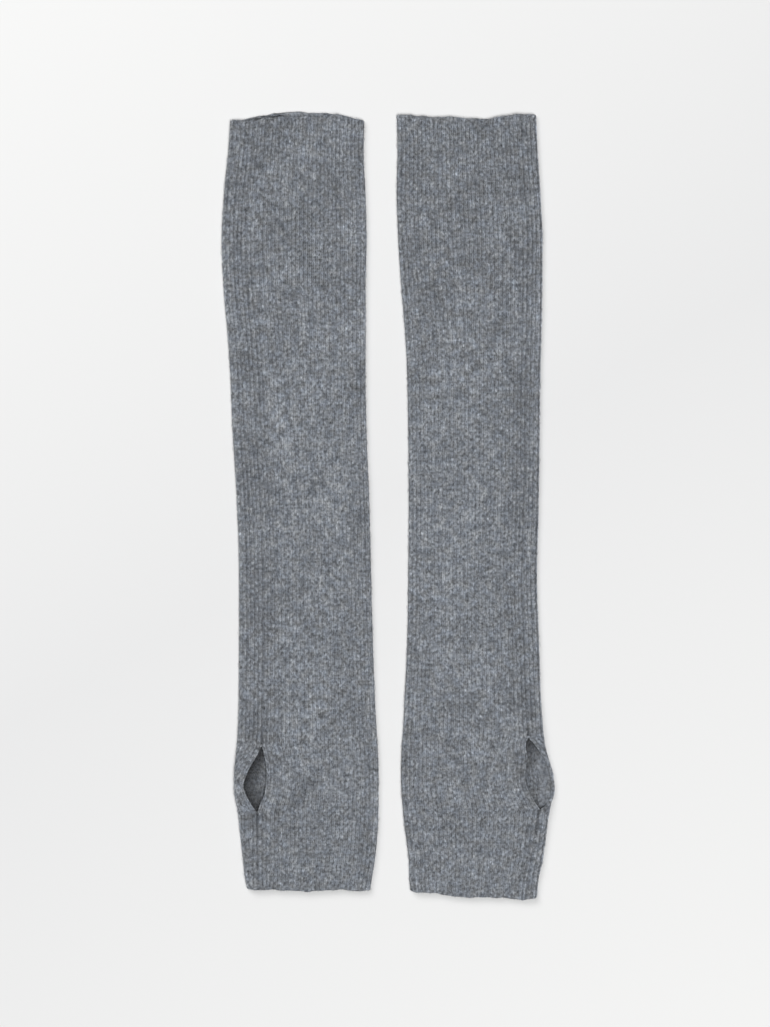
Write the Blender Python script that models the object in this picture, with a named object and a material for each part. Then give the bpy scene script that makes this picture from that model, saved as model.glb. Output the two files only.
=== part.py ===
"""Pair of long ribbed wool arm warmers, laid flat side by side.

Each warmer is one panel of rib knit, sewn into a tube down its thumb side. A
stretch of that seam is left open as the thumb slit. Hand ends point to -Y.
Sizes are in millimetres here, and become metres where the meshes are made.
"""
import math
from collections import namedtuple

import bmesh
import bpy

MM = 0.001

# Driving dimensions of the knit and of the laid tube
WALL = 1.8
SLACK = 1.4
RIB_RISE = 0.6
RIB_PITCH = 2.4
SEAM_GROOVE = 0.8
AXIS_OFFSET = 51.45
LIFT_REACH = 26.0
END_REACH = 40.0
UNDER_MARGIN = 2.0
FAR_RIBS = 3

# Fineness of the mesh round a section
FOLD_STEPS_A_RIB = 3
FLAT_STEPS_A_RIB = 2
BACK_STEPS = 6
INNER_FOLD_STEPS = 4
INNER_BACK_STEPS = 3
INNER_FRONT_STEPS = 10
ARC_SAMPLES = 24
STRIP_SAMPLES = 12
FRONT_SAMPLES = 120

BACK_HEIGHT = WALL / 2
FRONT_HEIGHT = BACK_HEIGHT + WALL + SLACK

# A row for each section: distance from the hand end, then distances from the
# warmer's lengthways axis to its thumb edge, its far edge and its seam
Section = namedtuple("Section", "from_hand thumb_edge far_edge seam")

LEFT_SECTIONS = (
    Section(0, 34.6, 40.4, 28.6),
    Section(8, 37.0, 41.6, 28.6),
    Section(20, 38.3, 43.4, 28.7),
    Section(35, 40.0, 44.9, 28.8),
    Section(48, 41.2, 45.5, 29.0),
    Section(62, 43.6, 45.6, 28.4),
    Section(72, 43.7, 45.6, 27.6),
    Section(84, 42.6, 45.3, 26.6),
    Section(96, 41.6, 44.6, 26.2),
    Section(118, 40.9, 43.4, 25.7),
    Section(160, 40.6, 41.9, 25.4),
    Section(200, 40.7, 40.9, 25.5),
    Section(240, 42.0, 39.9, 26.8),
    Section(283, 44.6, 38.2, 29.4),
    Section(320, 46.2, 37.6, 31.0),
    Section(345, 47.9, 37.7, 32.7),
    Section(370, 50.1, 37.6, 34.9),
    Section(400, 51.3, 38.2, 36.1),
    Section(431, 49.8, 37.5, 34.6),
    Section(455, 47.4, 36.4, 32.2),
    Section(477, 46.1, 36.9, 30.9),
)

RIGHT_SECTIONS = (
    Section(0, 39.9, 38.4, 33.0),
    Section(10, 40.8, 39.2, 34.0),
    Section(22, 43.4, 39.5, 36.4),
    Section(35, 45.3, 41.0, 38.4),
    Section(47, 46.7, 42.5, 39.9),
    Section(56, 48.5, 43.3, 40.6),
    Section(66, 50.8, 44.1, 39.6),
    Section(75, 49.9, 44.3, 38.2),
    Section(84, 47.3, 44.1, 36.8),
    Section(92, 45.2, 43.9, 35.7),
    Section(102, 43.8, 43.0, 34.7),
    Section(121, 42.4, 42.1, 33.2),
    Section(164, 41.0, 40.2, 31.8),
    Section(194, 39.9, 39.8, 30.7),
    Section(240, 41.0, 39.5, 31.8),
    Section(287, 41.7, 39.8, 32.5),
    Section(323, 42.1, 40.5, 32.9),
    Section(348, 42.8, 41.9, 33.6),
    Section(373, 43.2, 43.9, 34.0),
    Section(403, 43.4, 45.9, 34.2),
    Section(434, 41.9, 46.9, 32.7),
    Section(459, 40.3, 46.4, 31.1),
    Section(480, 39.4, 46.9, 30.2),
)

# The thumb slit: where the edge of the strip beside the thumb and the edge of
# the front panel lie, measured from the axis
SlitRow = namedtuple("SlitRow", "from_hand strip_lip front_lip")

LEFT_SLIT = (
    SlitRow(48.7, 29.5, 28.7),
    SlitRow(54, 32.8, 27.4),
    SlitRow(60, 36.0, 24.7),
    SlitRow(66, 37.6, 23.8),
    SlitRow(72, 35.8, 23.4),
    SlitRow(78, 33.0, 23.7),
    SlitRow(84, 29.4, 25.0),
    SlitRow(90, 26.9, 26.1),
)

RIGHT_SLIT = (
    SlitRow(53.5, 42.0, 41.2),
    SlitRow(57, 45.6, 39.2),
    SlitRow(62, 48.4, 36.4),
    SlitRow(68, 49.4, 33.4),
    SlitRow(74, 48.6, 32.3),
    SlitRow(80, 46.8, 32.7),
    SlitRow(86, 43.4, 33.7),
    SlitRow(92, 40.0, 34.0),
    SlitRow(97, 35.9, 35.1),
)

# How far the strip and the front panel stand above the plain laid height
LiftRow = namedtuple("LiftRow", "from_hand strip front")

LEFT_LIFTS = (
    LiftRow(0, 0.3, 0.0),
    LiftRow(20, 0.2, 0.1),
    LiftRow(40, 1.1, 0.9),
    LiftRow(52, 2.2, 1.6),
    LiftRow(60, 3.0, 1.7),
    LiftRow(68, 3.2, 1.0),
    LiftRow(78, 2.8, 0.7),
    LiftRow(90, 1.7, 1.1),
    LiftRow(112, 0.5, 0.5),
    LiftRow(140, 0.0, 0.0),
    LiftRow(477, 0.3, 0.3),
)

RIGHT_LIFTS = (
    LiftRow(0, 0.2, 0.0),
    LiftRow(20, 0.2, 0.1),
    LiftRow(42, 0.7, 0.6),
    LiftRow(54, 1.2, 1.1),
    LiftRow(66, 0.9, 1.3),
    LiftRow(76, 1.2, 1.8),
    LiftRow(86, 1.9, 2.7),
    LiftRow(97, 2.0, 2.3),
    LiftRow(115, 0.7, 0.8),
    LiftRow(140, 0.0, 0.0),
    LiftRow(480, 0.2, 0.2),
)

# The knitted end edges: share of the width from the thumb edge, and how far
# the front and the back layer reach past the plain end
EdgeRow = namedtuple("EdgeRow", "across front back")

LEFT_HAND_EDGE = (
    EdgeRow(0.00, -2.9, -2.9),
    EdgeRow(0.05, -1.4, -1.9),
    EdgeRow(0.10, -0.9, -1.5),
    EdgeRow(0.20, -1.0, -1.5),
    EdgeRow(0.33, -0.5, -1.2),
    EdgeRow(0.50, 0.0, -0.8),
    EdgeRow(0.70, -0.9, -1.4),
    EdgeRow(0.78, -1.0, -1.5),
    EdgeRow(0.90, -0.2, -0.9),
    EdgeRow(1.00, -0.6, -0.6),
)

LEFT_ARM_EDGE = (
    EdgeRow(0.00, -2.7, -2.4),
    EdgeRow(0.10, -2.6, -1.9),
    EdgeRow(0.20, -2.5, 0.0),
    EdgeRow(0.26, -0.9, 0.8),
    EdgeRow(0.48, -0.3, 2.9),
    EdgeRow(0.62, -0.5, 2.2),
    EdgeRow(0.70, -0.6, 2.0),
    EdgeRow(0.76, 0.6, 1.7),
    EdgeRow(0.80, 1.4, 1.3),
    EdgeRow(0.85, -0.4, 0.5),
    EdgeRow(0.92, -1.5, -1.2),
    EdgeRow(1.00, -2.8, -2.4),
)

RIGHT_HAND_EDGE = (
    EdgeRow(0.00, 0.6, 0.6),
    EdgeRow(0.07, 2.1, 1.2),
    EdgeRow(0.17, 1.8, 0.9),
    EdgeRow(0.28, 0.9, 0.2),
    EdgeRow(0.42, 0.7, 0.0),
    EdgeRow(0.56, 0.7, -0.2),
    EdgeRow(0.66, 0.0, -0.8),
    EdgeRow(0.74, -1.1, -1.7),
    EdgeRow(0.84, -2.1, -2.6),
    EdgeRow(0.95, -2.4, -3.0),
    EdgeRow(1.00, -3.5, -3.5),
)

RIGHT_ARM_EDGE = (
    EdgeRow(0.00, 1.0, 1.0),
    EdgeRow(0.07, 2.0, 1.2),
    EdgeRow(0.15, 1.6, 0.8),
    EdgeRow(0.20, 0.7, 0.1),
    EdgeRow(0.28, -0.4, -0.9),
    EdgeRow(0.36, -2.3, -1.4),
    EdgeRow(0.42, -1.5, -1.8),
    EdgeRow(0.50, -1.4, -2.0),
    EdgeRow(0.57, -0.3, -1.4),
    EdgeRow(0.72, -0.5, -1.2),
    EdgeRow(0.84, 0.1, -0.7),
    EdgeRow(0.92, 1.0, 0.0),
    EdgeRow(1.00, 0.5, 0.5),
)

# Soft ridges and troughs that the laid front keeps: where the middle of each
# lies, its half length and half width, its turn from the across direction in
# degrees, and its height
Swell = namedtuple("Swell", "across from_hand half_length half_width turn height")

LEFT_SWELLS = (
    Swell(14.5, 65.5, 15.0, 4.0, -38, 0.7),
    Swell(1.0, 67.0, 13.0, 3.5, 23, 0.5),
    Swell(-6.0, 58.0, 11.0, 4.0, 35, -0.5),
    Swell(10.0, 48.0, 20.0, 5.0, -30, 0.4),
    Swell(-14.0, 96.0, 30.0, 9.0, 62, 0.5),
    Swell(8.0, 150.0, 45.0, 12.0, 84, 0.5),
    Swell(-18.0, 215.0, 50.0, 11.0, 95, 0.6),
    Swell(16.0, 290.0, 55.0, 12.0, 80, 0.6),
    Swell(-12.0, 350.0, 45.0, 12.0, 97, 0.5),
    Swell(20.0, 405.0, 40.0, 13.0, 88, 0.7),
    Swell(-8.0, 452.0, 26.0, 12.0, 100, 0.7),
)

RIGHT_SWELLS = (
    Swell(20.0, 74.0, 16.0, 5.0, -62, 0.6),
    Swell(8.0, 60.0, 15.0, 5.0, -25, 0.4),
    Swell(-4.0, 92.0, 24.0, 8.0, 70, 0.5),
    Swell(12.0, 128.0, 32.0, 10.0, 96, 0.5),
    Swell(-16.0, 190.0, 50.0, 12.0, 84, 0.6),
    Swell(14.0, 255.0, 50.0, 12.0, 97, 0.5),
    Swell(-10.0, 325.0, 52.0, 13.0, 86, 0.6),
    Swell(18.0, 385.0, 40.0, 12.0, 93, 0.6),
    Swell(-20.0, 425.0, 38.0, 12.0, 82, 0.7),
    Swell(6.0, 458.0, 24.0, 11.0, 104, 0.6),
)

# Places along a warmer, from the hand end, that get a section of the mesh
LEFT_STATIONS = (
    0, 6, 16, 30, 40, 48.7, 54, 60, 66, 72, 78, 84, 90,
    100, 118, 150, 195, 245, 295, 340, 375, 405, 435, 457, 470, 477,
)
RIGHT_STATIONS = (
    0, 6, 16, 30, 44, 53.5, 57, 62, 68, 74, 80, 86, 92, 97,
    108, 128, 165, 210, 258, 305, 350, 388, 420, 448, 468, 480,
)

WOOL_GREY = (0.195, 0.209, 0.229, 1.0)

Warmer = namedtuple(
    "Warmer",
    "name side hand_end thumb_ribs front_ribs sections slit lifts hand_edge arm_edge swells stations",
)

LEFT = Warmer(
    "left_arm_warmer", -1, -237.4, 10, 28, LEFT_SECTIONS, LEFT_SLIT, LEFT_LIFTS,
    LEFT_HAND_EDGE, LEFT_ARM_EDGE, LEFT_SWELLS, LEFT_STATIONS,
)
RIGHT = Warmer(
    "right_arm_warmer", 1, -240.4, 8, 30, RIGHT_SECTIONS, RIGHT_SLIT, RIGHT_LIFTS,
    RIGHT_HAND_EDGE, RIGHT_ARM_EDGE, RIGHT_SWELLS, RIGHT_STATIONS,
)


def through(rows, column, at):
    """Value of a column at a place: a smooth curve through the rows that never overshoots one."""
    places = [row[0] for row in rows]
    values = [getattr(row, column) for row in rows]
    if at <= places[0]:
        return values[0]
    if at >= places[-1]:
        return values[-1]
    k = max(i for i, place in enumerate(places) if place <= at)
    slopes = [
        (values[i + 1] - values[i]) / (places[i + 1] - places[i]) for i in range(len(rows) - 1)
    ]

    def tangent(i):
        if i in (0, len(rows) - 1):
            return slopes[0] if i == 0 else slopes[-1]
        before, after = slopes[i - 1], slopes[i]
        return 0.0 if before * after <= 0 else 2 * before * after / (before + after)

    span = places[k + 1] - places[k]
    t = (at - places[k]) / span
    rise = values[k + 1] - values[k]
    start, end = tangent(k) * span, tangent(k + 1) * span
    return values[k] + t * (start + t * (3 * rise - 2 * start - end + t * (start + end - 2 * rise)))


def in_slit(warmer, along):
    return warmer.slit[0].from_hand <= along <= warmer.slit[-1].from_hand


def lips(warmer, along):
    """Where the strip's edge and the front panel's edge lie; side by side where the seam is sewn."""
    if in_slit(warmer, along):
        return through(warmer.slit, "strip_lip", along), through(warmer.slit, "front_lip", along)
    seam = through(warmer.sections, "seam", along)
    return seam + SEAM_GROOVE / 2, seam - SEAM_GROOVE / 2


def swelling(warmer, across, along):
    """Height of the soft ridges and troughs at one point of the front."""
    total = 0.0
    for swell in warmer.swells:
        turn = math.radians(swell.turn)
        du, dv = across - swell.across, along - swell.from_hand
        lengthways = (du * math.cos(turn) + dv * math.sin(turn)) / swell.half_length
        sideways = (dv * math.cos(turn) - du * math.sin(turn)) / swell.half_width
        total += swell.height * math.exp(-lengthways ** 2 - sideways ** 2)
    return total


def strip_height(warmer, along):
    return FRONT_HEIGHT + through(warmer.lifts, "strip", along)


def front_height(warmer, across, along, lip):
    """Height of the wall's middle on the front panel: highest at the slit, plain past the reach."""
    share = min(1.0, max(0.0, (lip - across) / LIFT_REACH))
    lifted = through(warmer.lifts, "front", along) * (1 + math.cos(math.pi * share)) / 2
    far = through(warmer.sections, "far_edge", along)
    settle = min(1.0, max(0.0, (across + far) / 12.0))
    return FRONT_HEIGHT + lifted + swelling(warmer, across, along) * settle


def section_path(warmer, along):
    """The wall's middle round one section, from the strip's lip under the tube to the front's lip.

    Gives points of (across, height, normal across, normal up, length so far) and the
    lengths at which the thumb fold starts and ends and the far fold starts and ends.
    """
    strip_lip, front_lip = lips(warmer, along)
    thumb_side = through(warmer.sections, "thumb_edge", along) - WALL / 2 - RIB_RISE / 2
    far_side = through(warmer.sections, "far_edge", along) - WALL / 2 - RIB_RISE / 2
    strip_top = strip_height(warmer, along)
    thumb_radius = (strip_top - BACK_HEIGHT) / 2
    thumb_centre = thumb_side - thumb_radius
    far_radius = (FRONT_HEIGHT - BACK_HEIGHT) / 2
    far_centre = far_side - far_radius

    points = []

    def add(across, height, normal_across, normal_up):
        length = 0.0
        if points:
            last = points[-1]
            length = last[4] + math.hypot(across - last[0], height - last[1])
        points.append((across, height, normal_across, normal_up, length))
        return length

    start_angle = math.pi / 2
    if strip_lip < thumb_centre:
        for i in range(STRIP_SAMPLES):
            across = strip_lip + (thumb_centre - strip_lip) * i / STRIP_SAMPLES
            add(across, strip_top, 0.0, 1.0)
    else:
        start_angle = math.acos(min(0.96, (strip_lip - thumb_centre) / thumb_radius))
    thumb_start = None
    for i in range(ARC_SAMPLES + 1):
        angle = start_angle + (-math.pi / 2 - start_angle) * i / ARC_SAMPLES
        across = thumb_centre + thumb_radius * math.cos(angle)
        height = BACK_HEIGHT + thumb_radius * (1 + math.sin(angle))
        thumb_end = add(across, height, math.cos(angle), math.sin(angle))
        thumb_start = thumb_end if thumb_start is None else thumb_start
    far_start = None
    for i in range(ARC_SAMPLES + 1):
        angle = -math.pi / 2 - math.pi * i / ARC_SAMPLES
        across = -far_centre + far_radius * math.cos(angle)
        height = BACK_HEIGHT + far_radius * (1 + math.sin(angle))
        far_end = add(across, height, math.cos(angle), math.sin(angle))
        far_start = far_end if far_start is None else far_start
    for i in range(1, FRONT_SAMPLES + 1):
        across = -far_centre + (front_lip + far_centre) * i / FRONT_SAMPLES
        height = front_height(warmer, across, along, front_lip)
        ahead = front_height(warmer, across + 0.5, along, front_lip)
        slope = (ahead - height) / 0.5
        steep = math.hypot(slope, 1.0)
        add(across, height, -slope / steep, 1 / steep)
    return points, thumb_start, thumb_end, far_start, far_end


def point_at(points, length):
    """The path's point and normal at a length along it."""
    k = 0
    while k < len(points) - 2 and points[k + 1][4] < length:
        k += 1
    a, b = points[k], points[k + 1]
    share = min(1.0, max(0.0, (length - a[4]) / (b[4] - a[4])))
    across, height, nu, nz = (a[i] + (b[i] - a[i]) * share for i in range(4))
    size = math.hypot(nu, nz)
    return across, height, nu / size, nz / size


def evenly(start, end, steps):
    """Steps values after start, the last of them end."""
    return [start + (end - start) * (i + 1) / steps for i in range(steps)]


def rib_marks(start, end, ribs, steps_a_rib):
    """Lengths of the points on a run of ribs, and whether each stands on a rib or in a groove."""
    count = ribs * steps_a_rib
    return evenly(start, end, count), [(i + 1) % steps_a_rib != 0 for i in range(count)]


def pulled_ribs(start, end, ribs, pull):
    """Rib marks of the front, squeezed or spread towards the slit by how far its lip is pulled."""
    lengths, raised = rib_marks(0.0, 1.0, ribs, FLAT_STEPS_A_RIB)
    return [start + (end - start - pull) * share + pull * share ** 2 for share in lengths], raised


def outer_marks(warmer, along, total, far_start):
    """Lengths of all the outer points: the thumb side and the far fold are the finest."""
    pull = lips(warmer, along)[1] - through(warmer.sections, "seam", along)
    thumb_end = RIB_PITCH * warmer.thumb_ribs
    far_run_start = far_start - UNDER_MARGIN
    far_run_end = far_run_start + RIB_PITCH * FAR_RIBS
    lengths = [0.0]
    raised = [False]
    for run_lengths, run_raised in (
        rib_marks(0.0, thumb_end, warmer.thumb_ribs, FOLD_STEPS_A_RIB),
        (evenly(thumb_end, far_run_start, BACK_STEPS), [False] * BACK_STEPS),
        rib_marks(far_run_start, far_run_end, FAR_RIBS, FOLD_STEPS_A_RIB),
        pulled_ribs(far_run_end, total, warmer.front_ribs, pull),
    ):
        lengths += run_lengths
        raised += run_raised
    return lengths, raised


def inner_marks(thumb_start, thumb_end, far_start, far_end, total):
    """Lengths of the inner points: few on the flats, more round the folds."""
    bend = max(thumb_start, thumb_end / 4)
    lengths = [0.0, bend / 2, bend]
    lengths += evenly(bend, thumb_end, INNER_FOLD_STEPS)
    lengths += evenly(thumb_end, far_start, INNER_BACK_STEPS)
    lengths += evenly(far_start, far_end, INNER_FOLD_STEPS)
    lengths += evenly(far_end, total, INNER_FRONT_STEPS)
    return lengths


def end_shift(warmer, across, height, along):
    """How far a point moves along the warmer so that the end edges get their uneven line."""
    thumb = through(warmer.sections, "thumb_edge", along)
    far = through(warmer.sections, "far_edge", along)
    share = min(1.0, max(0.0, (thumb - across) / (thumb + far)))
    front_share = min(1.0, max(0.0, (height - BACK_HEIGHT) / (FRONT_HEIGHT - BACK_HEIGHT)))
    shift = 0.0
    length = warmer.stations[-1]
    for edge, distance, way in ((warmer.hand_edge, along, -1), (warmer.arm_edge, length - along, 1)):
        if distance < END_REACH:
            front = through(edge, "front", share)
            back = through(edge, "back", share)
            fade = (1 - distance / END_REACH) ** 2
            shift += way * fade * (back + (front - back) * front_share)
    return shift


def ring_points(warmer, along):
    """Outer and inner points of one section, with the lengths they lie at."""
    points, thumb_start, thumb_end, far_start, far_end = section_path(warmer, along)
    total = points[-1][4]
    outer_lengths, raised = outer_marks(warmer, along, total, far_start)
    inner_lengths = inner_marks(thumb_start, thumb_end, far_start, far_end, total)

    def place(length, offset_of):
        across, height, nu, nz = point_at(points, length)
        offset = offset_of(nz)
        shift = end_shift(warmer, across, height, along)
        x = warmer.side * (across + nu * offset)
        return x * MM, (along + shift) * MM, (height + nz * offset) * MM

    outer = []
    for length, on_rib in zip(outer_lengths, raised):
        rise = RIB_RISE if on_rib else 0.0
        outer.append(place(length, lambda nz: WALL / 2 + rise * min(1.0, max(0.0, nz + 0.5))))
    inner = [place(length, lambda nz: -WALL / 2) for length in inner_lengths]
    return outer, inner, outer_lengths, inner_lengths


def close_end(mesh, outer, inner, outer_lengths, inner_lengths):
    """Joins the outer and inner edge of an open end, whose points differ in number."""
    i = j = 0
    while i < len(outer) - 1 or j < len(inner) - 1:
        outer_next = outer_lengths[i + 1] if i < len(outer) - 1 else math.inf
        inner_next = inner_lengths[j + 1] if j < len(inner) - 1 else math.inf
        if outer_next <= inner_next:
            mesh.faces.new((outer[i], outer[i + 1], inner[j]))
            i += 1
        else:
            mesh.faces.new((outer[i], inner[j + 1], inner[j]))
            j += 1
    mesh.faces.new((outer[-1], outer[0], inner[0], inner[-1]))


def knitted_tube(warmer):
    """The whole warmer as one closed wall, open at both ends and at the slit."""
    mesh = bmesh.new()
    rings = []
    for along in warmer.stations:
        outer, inner, outer_lengths, inner_lengths = ring_points(warmer, along)
        outer = [mesh.verts.new(point) for point in outer]
        inner = [mesh.verts.new(point) for point in inner]
        rings.append((along, outer, inner, outer_lengths, inner_lengths))
    for near, next_ring in zip(rings, rings[1:]):
        open_here = in_slit(warmer, near[0]) and in_slit(warmer, next_ring[0])
        for layer in (1, 2):
            a, b = near[layer], next_ring[layer]
            for i in range(len(a) - 1):
                mesh.faces.new((a[i], a[i + 1], b[i + 1], b[i]))
            if not open_here:
                mesh.faces.new((a[-1], a[0], b[0], b[-1]))
        if open_here:
            for end in (0, -1):
                mesh.faces.new((near[1][end], near[2][end], next_ring[2][end], next_ring[1][end]))
    for along, outer, inner, _, _ in rings:
        if along in (warmer.slit[0].from_hand, warmer.slit[-1].from_hand):
            mesh.faces.new((outer[0], outer[-1], inner[-1], inner[0]))
    for _, outer, inner, outer_lengths, inner_lengths in (rings[0], rings[-1]):
        close_end(mesh, outer, inner, outer_lengths, inner_lengths)
    bmesh.ops.recalc_face_normals(mesh, faces=mesh.faces)
    data = bpy.data.meshes.new(warmer.name)
    mesh.to_mesh(data)
    mesh.free()
    return data


def wool(name):
    material = bpy.data.materials.new(name)
    material.use_nodes = True
    shader = material.node_tree.nodes["Principled BSDF"]
    shader.inputs["Base Color"].default_value = WOOL_GREY
    shader.inputs["Roughness"].default_value = 0.95
    shader.inputs["Metallic"].default_value = 0.0
    material.diffuse_color = WOOL_GREY
    return material


def add_warmer(warmer):
    data = knitted_tube(warmer)
    data.materials.append(wool(warmer.name + "_wool"))
    data.shade_smooth()
    data.set_sharp_from_angle(angle=math.radians(30))
    item = bpy.data.objects.new(warmer.name, data)
    item.location = (warmer.side * AXIS_OFFSET * MM, warmer.hand_end * MM, 0.0)
    bpy.context.scene.collection.objects.link(item)
    return item


def centre_on_origin(items):
    """Moves the pair so that the middle of its box lies over the origin."""
    corners = [item.location + vert.co for item in items for vert in item.data.vertices]
    for axis in (0, 1):
        middle = (min(c[axis] for c in corners) + max(c[axis] for c in corners)) / 2
        for item in items:
            item.location[axis] -= middle


for leftover in list(bpy.data.objects):
    bpy.data.objects.remove(leftover, do_unlink=True)
centre_on_origin([add_warmer(LEFT), add_warmer(RIGHT)])
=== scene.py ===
"""Looks of a pair of long ribbed wool arm warmers, laid flat side by side.

The knit is built as it is made: a ribbed ground cloth bent to the laid tube, the
stitches of its ribs, its end edges, the thumb slit, the seam, and loose wool hair.
Sizes are in millimetres here, and become metres where the meshes are made.
"""
import math
from collections import namedtuple

import bmesh
import bpy
import numpy as np
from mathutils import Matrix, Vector


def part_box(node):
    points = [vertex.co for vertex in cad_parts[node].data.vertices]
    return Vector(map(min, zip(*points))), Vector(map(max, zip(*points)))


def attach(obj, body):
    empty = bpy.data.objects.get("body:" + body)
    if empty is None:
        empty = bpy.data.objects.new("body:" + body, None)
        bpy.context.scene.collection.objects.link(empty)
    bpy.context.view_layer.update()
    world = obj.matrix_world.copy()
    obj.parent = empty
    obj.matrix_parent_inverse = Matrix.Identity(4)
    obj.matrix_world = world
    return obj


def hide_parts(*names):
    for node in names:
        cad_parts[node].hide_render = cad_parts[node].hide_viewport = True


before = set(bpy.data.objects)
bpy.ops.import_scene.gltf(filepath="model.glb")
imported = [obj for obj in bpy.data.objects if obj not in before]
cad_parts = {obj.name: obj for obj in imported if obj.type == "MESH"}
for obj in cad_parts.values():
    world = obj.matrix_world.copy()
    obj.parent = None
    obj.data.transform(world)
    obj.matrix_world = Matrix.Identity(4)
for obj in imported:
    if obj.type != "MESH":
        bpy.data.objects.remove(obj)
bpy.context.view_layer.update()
MM = 0.001


# Camera
# The picture is taken from straight above with a long lens, so the laid tubes
# show no sides. It takes in 473 by 631 mm of the floor.
VIEW_CENTRE = (-2.03, -4.77)
VIEW_WIDTH = 473.06
VIEW_HEIGHT = 630.95
CAMERA_DISTANCE = 3200.0
CLOTH_TOP = 4.0
SENSOR_HEIGHT = 24.0

bpy.ops.object.camera_add(
    location=(VIEW_CENTRE[0] * MM, VIEW_CENTRE[1] * MM, (CLOTH_TOP + CAMERA_DISTANCE) * MM),
    rotation=(0, 0, 0),
)
camera = bpy.context.object
camera.name = "camera"
camera.data.sensor_fit = "VERTICAL"
camera.data.sensor_height = SENSOR_HEIGHT
camera.data.sensor_width = SENSOR_HEIGHT * VIEW_WIDTH / VIEW_HEIGHT
camera.data.lens = SENSOR_HEIGHT * CAMERA_DISTANCE / VIEW_HEIGHT
camera.data.clip_end = 20.0
bpy.context.scene.camera = camera


# Floor and light
# A wide sheet of matt white paper under a large panel overhead, with a second
# soft panel at the upper left that gives the short shadows. The paper carries a
# painted shade: its colour is a little greyer in a band that rises from the
# lower left to the upper right, standing in for uneven light.
FLOOR_SIZE = 12000.0
PAPER_WHITE = "#F1F1F0"
PAPER_SHADE = "#E5E5E5"
SHADE_BAND_PLACE = (-1.85, 0.0)
SHADE_BAND_REACH = 420.0
TOP_PLACE = (550.0, -650.0, 4400.0)
TOP_SIZE = 1500.0
TOP_POWER = 138.0
KEY_PLACE = (-1386.0, 1652.0, 2758.0)
KEY_SIZE = 2100.0
KEY_POWER = 51.0
SKY_STRENGTH = 0.12


def linear(hex_colour):
    """An sRGB hex colour as the linear RGBA that a shader takes."""
    values = [int(hex_colour[i:i + 2], 16) / 255 for i in (1, 3, 5)]
    return [v / 12.92 if v <= 0.04045 else ((v + 0.055) / 1.055) ** 2.4 for v in values] + [1.0]


def add_node(tree, kind, settings=None, **inputs):
    """Adds a shader node; an input is a value or another node's socket."""
    node = tree.nodes.new(kind)
    for name, value in (settings or {}).items():
        setattr(node, name, value)
    for name, value in inputs.items():
        socket = node.inputs[int(name[1:])] if name[1:].isdigit() else node.inputs[name.replace("_", " ")]
        if isinstance(value, bpy.types.NodeSocket):
            tree.links.new(value, socket)
        else:
            socket.default_value = value
    return node


def new_material(name):
    """An empty material, its node tree and its Principled shader."""
    material = bpy.data.materials.new(name)
    material.use_nodes = True
    return material, material.node_tree, material.node_tree.nodes["Principled BSDF"]


def matt_white_paper():
    """Matt white card: no gloss, and a tone that only drifts a little, as a painted shade in a band."""
    material, tree, shader = new_material("matt_white_card")
    place = add_node(tree, "ShaderNodeTexCoord")
    # Painted shade: the colour goes from PAPER_WHITE to PAPER_SHADE towards the band's middle line
    from_band = add_node(
        tree, "ShaderNodeVectorMath", {"operation": "SUBTRACT"},
        _0=place.outputs["Object"], _1=(SHADE_BAND_PLACE[0] * MM, SHADE_BAND_PLACE[1] * MM, 0.0),
    )
    across_band = add_node(
        tree, "ShaderNodeVectorMath", {"operation": "DOT_PRODUCT"},
        _0=from_band.outputs["Vector"], _1=(0.5, -0.866, 0.0),
    )
    off_band = add_node(
        tree, "ShaderNodeMath", {"operation": "ABSOLUTE"}, _0=across_band.outputs["Value"]
    )
    tone = add_node(
        tree, "ShaderNodeMapRange", Value=off_band.outputs["Value"], From_Max=SHADE_BAND_REACH * MM
    )
    mix = add_node(
        tree, "ShaderNodeMix", {"data_type": "RGBA"},
        _0=tone.outputs["Result"], _6=linear(PAPER_SHADE), _7=linear(PAPER_WHITE),
    )
    tree.links.new(mix.outputs[2], shader.inputs["Base Color"])
    shader.inputs["Roughness"].default_value = 0.9
    shader.inputs["Specular IOR Level"].default_value = 0.1
    return material


bpy.ops.mesh.primitive_plane_add(size=FLOOR_SIZE * MM)
floor = bpy.context.object
floor.name = "floor"
floor.data.materials.append(matt_white_paper())

for name, place, size, power in (
    ("top_panel", TOP_PLACE, TOP_SIZE, TOP_POWER),
    ("side_panel", KEY_PLACE, KEY_SIZE, KEY_POWER),
):
    bpy.ops.object.light_add(type="AREA", location=Vector(place) * MM)
    panel = bpy.context.object
    panel.name = name
    panel.data.shape = "SQUARE"
    panel.data.size = size * MM
    panel.data.energy = power
    panel.rotation_euler = (-Vector(place)).to_track_quat("-Z", "Y").to_euler()

world = bpy.data.worlds.new("studio")
world.use_nodes = True
world.node_tree.nodes["Background"].inputs["Color"].default_value = linear("#F4F6F8")
world.node_tree.nodes["Background"].inputs["Strength"].default_value = SKY_STRENGTH
bpy.context.scene.world = world
bpy.context.scene.view_settings.view_transform = "Standard"


# The ground cloth of each warmer
# One panel of wool rib knit closed to a tube down the thumb side, lying flat:
# the front layer on the back layer, with round folds at both sides, a slit
# left open in the seam for the thumb, and soft swells where it isn't pressed.
WALL = 1.8
SLACK = 1.4
RIB_RISE = 0.6
RIB_PITCH = 2.4
SEAM_GROOVE = 0.8
LIP_ROOM = 0.6
LIP_ROOM_FADE = 3.0
LOOP_ROOM = 0.45
EDGE_WAVE = 0.16
EDGE_WAVE_RUNS = (2.3, 1.3)
LIFT_REACH = 26.0
END_REACH = 40.0
UNDER_MARGIN = 2.0
FAR_RIBS = 3
BACK_RIBS = 27
SETTLE_REACH = 12.0
BACK_HEIGHT = WALL / 2
FRONT_HEIGHT = BACK_HEIGHT + WALL + SLACK

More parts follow.
